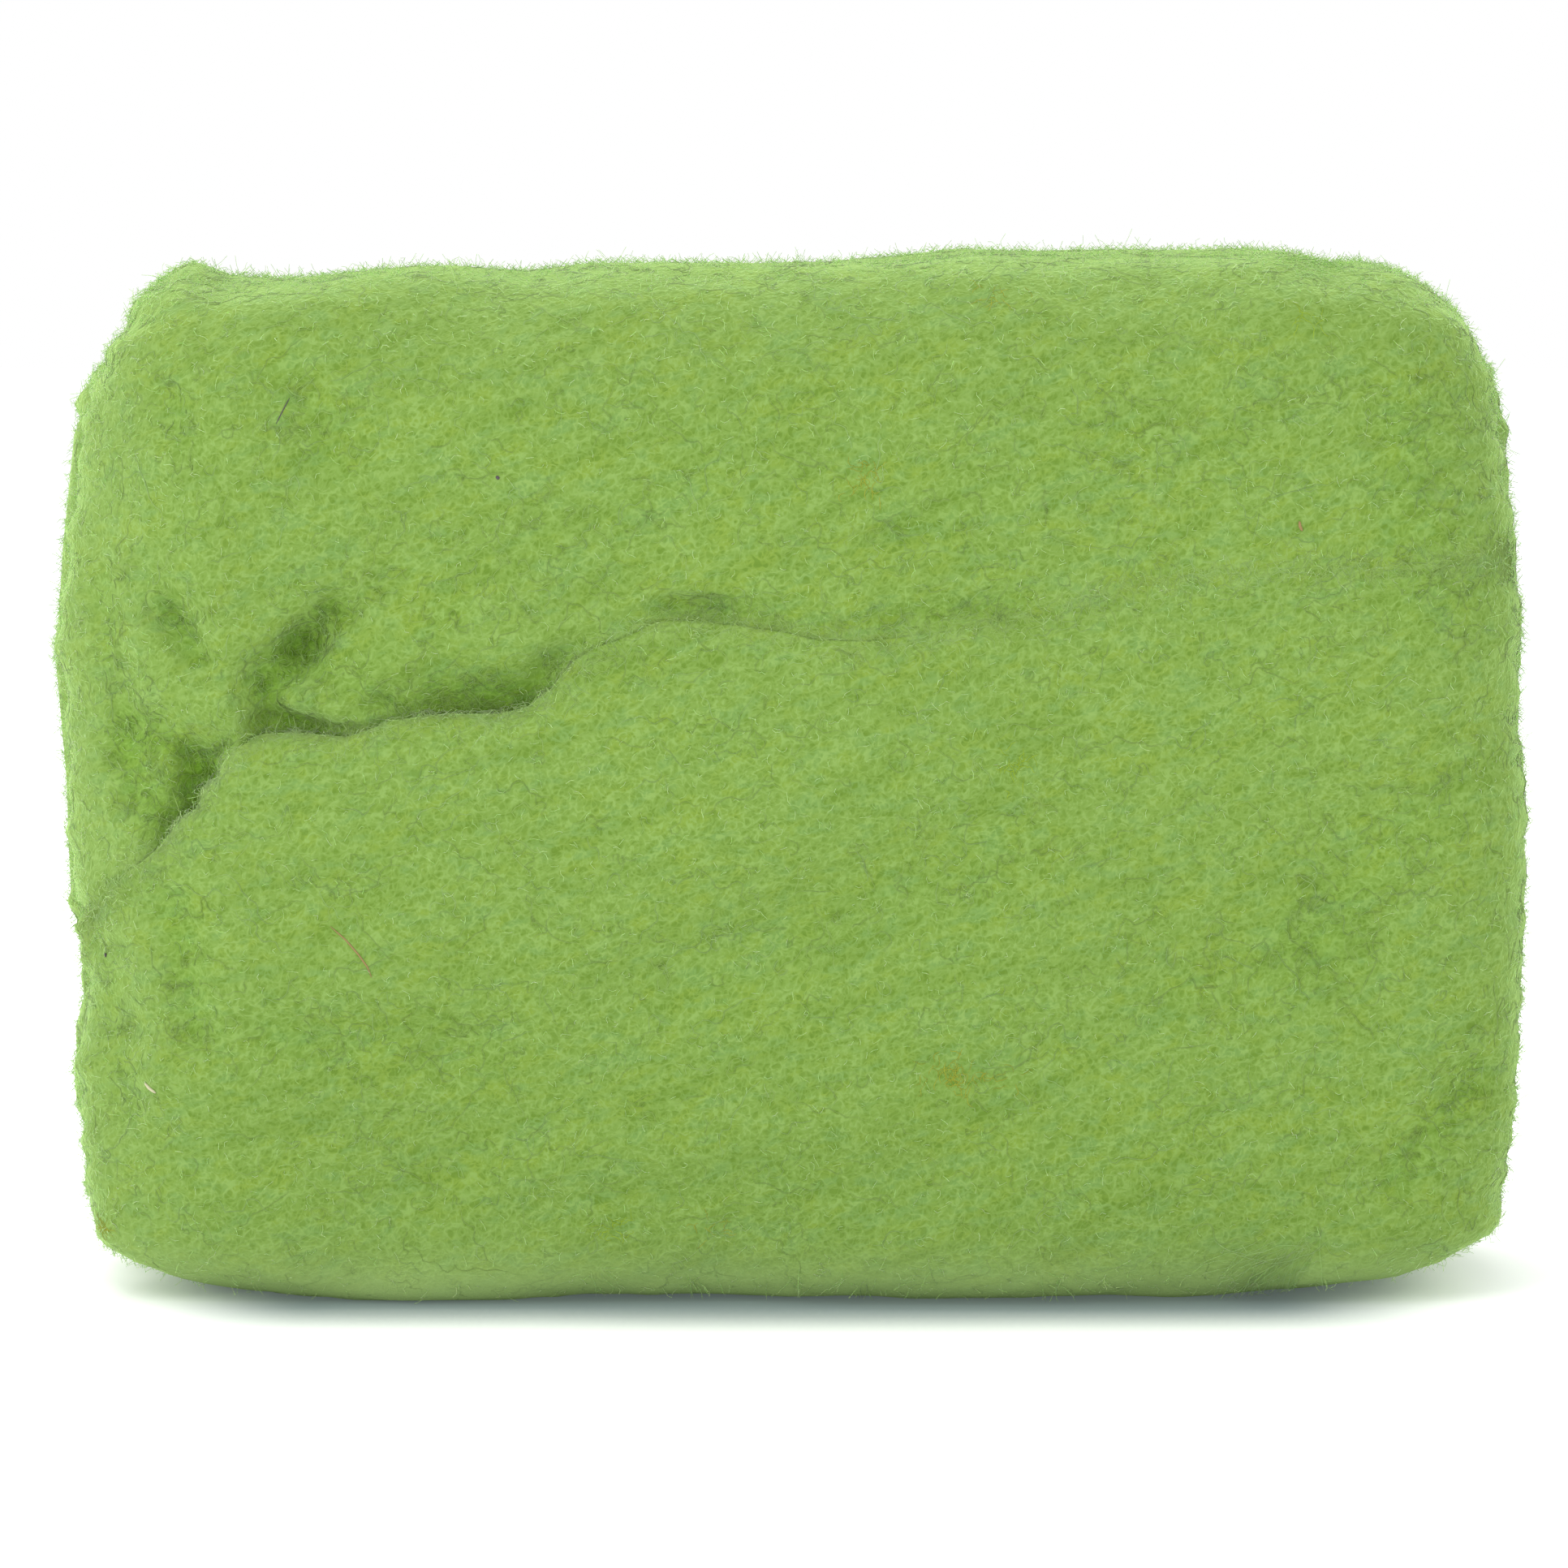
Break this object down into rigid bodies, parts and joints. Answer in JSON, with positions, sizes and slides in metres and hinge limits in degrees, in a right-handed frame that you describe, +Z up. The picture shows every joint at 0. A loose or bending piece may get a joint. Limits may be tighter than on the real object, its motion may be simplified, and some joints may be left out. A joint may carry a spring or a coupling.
{
  "type": "carded wool batt",
  "caption": "Thick lofty sheet of green carded wool wrapped flat around itself into a soft upright bundle, for felting, spinning or filling.",
  "frame": {"origin": "middle of the underside, where the bundle stands on a surface", "axes": "+X along the bundle to the right of its front face, +Y from the front face to the back, +Z up"},
  "size_m": [0.2616, 0.0824, 0.1868],
  "materials": {
    "wool": "matt, fuzzy carded wool in a melange of light green, yellow green and grey green fibres"
  },
  "bodies": {
    "root": {"batt": "wool"}
  },
  "joints": []
}
